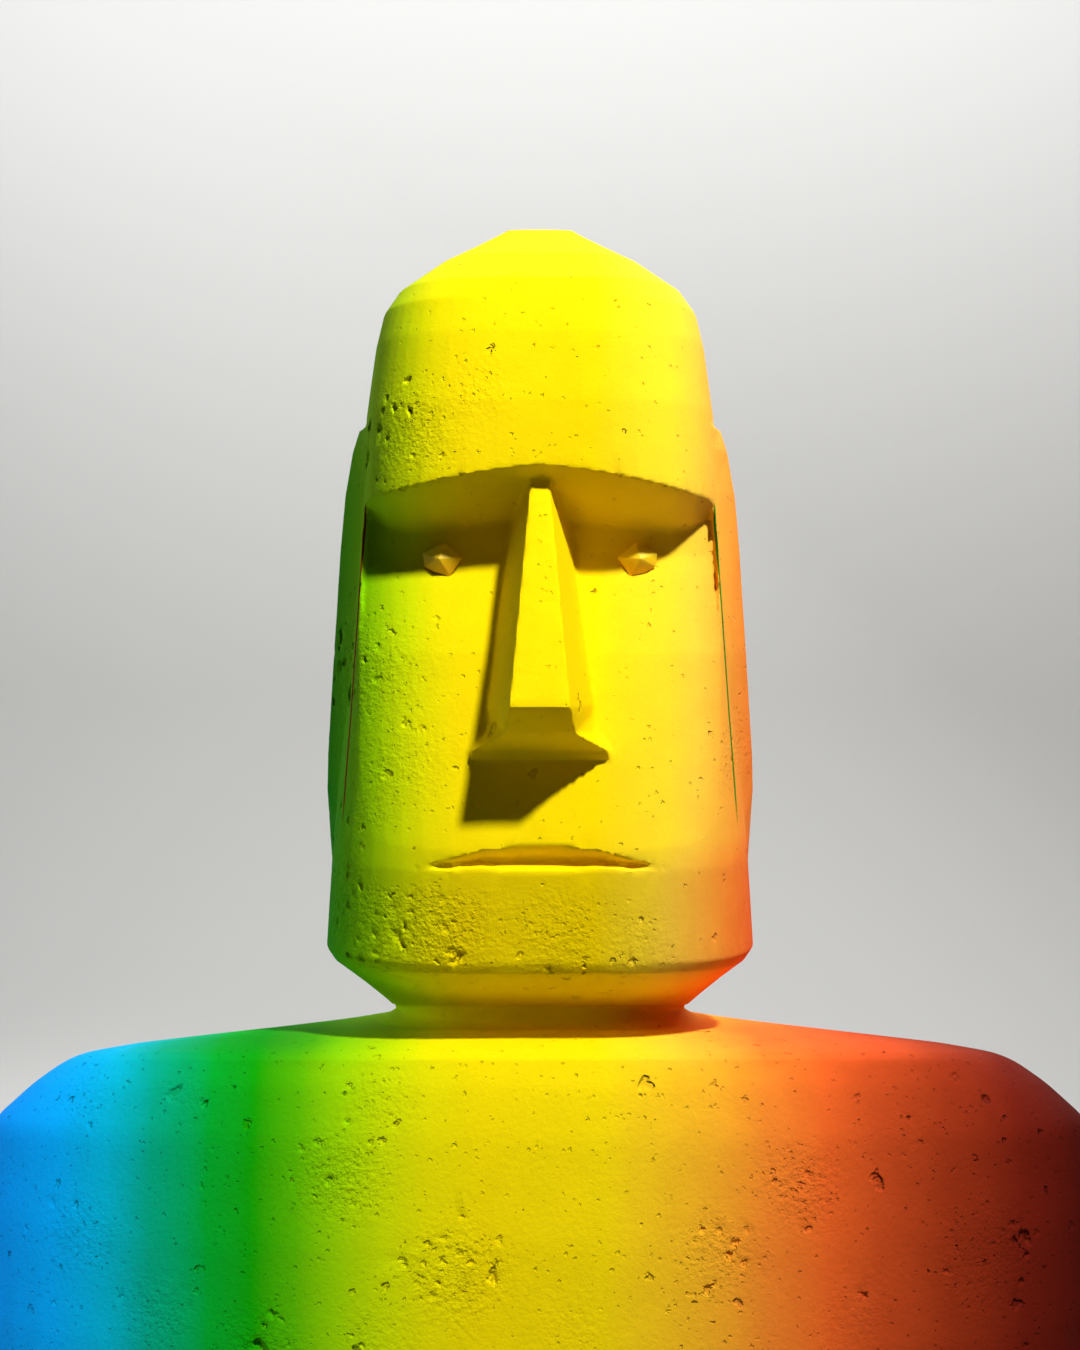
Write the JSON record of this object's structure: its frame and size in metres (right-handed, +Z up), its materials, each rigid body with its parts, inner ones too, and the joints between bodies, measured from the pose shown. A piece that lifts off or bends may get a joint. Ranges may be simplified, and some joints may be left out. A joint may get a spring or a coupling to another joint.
{
  "type": "moai statue",
  "caption": "Standing moai carved from tuff with its low base: long flat face, heavy brow, straight nose, thin mouth, strip ears, faceted stone eyes and a rainbow wash from blue to red.",
  "frame": {"origin": "middle of the base's flat underside, on the figure's plane of symmetry", "axes": "+Z up, -Y the way the face looks, +X the figure's own left"},
  "size_m": [2.3124, 1.148, 4],
  "materials": {
    "washed_tuff": "matte pitted volcanic tuff under a thin colour wash in upright bands: blue, green, yellow, orange, deep red",
    "eye_stone": "faceted stone, slightly smoother than the figure, under the same wash"
  },
  "bodies": {
    "root": {"statue": "washed_tuff", "eye_stone_left": "eye_stone", "eye_stone_right": "eye_stone"}
  },
  "joints": []
}
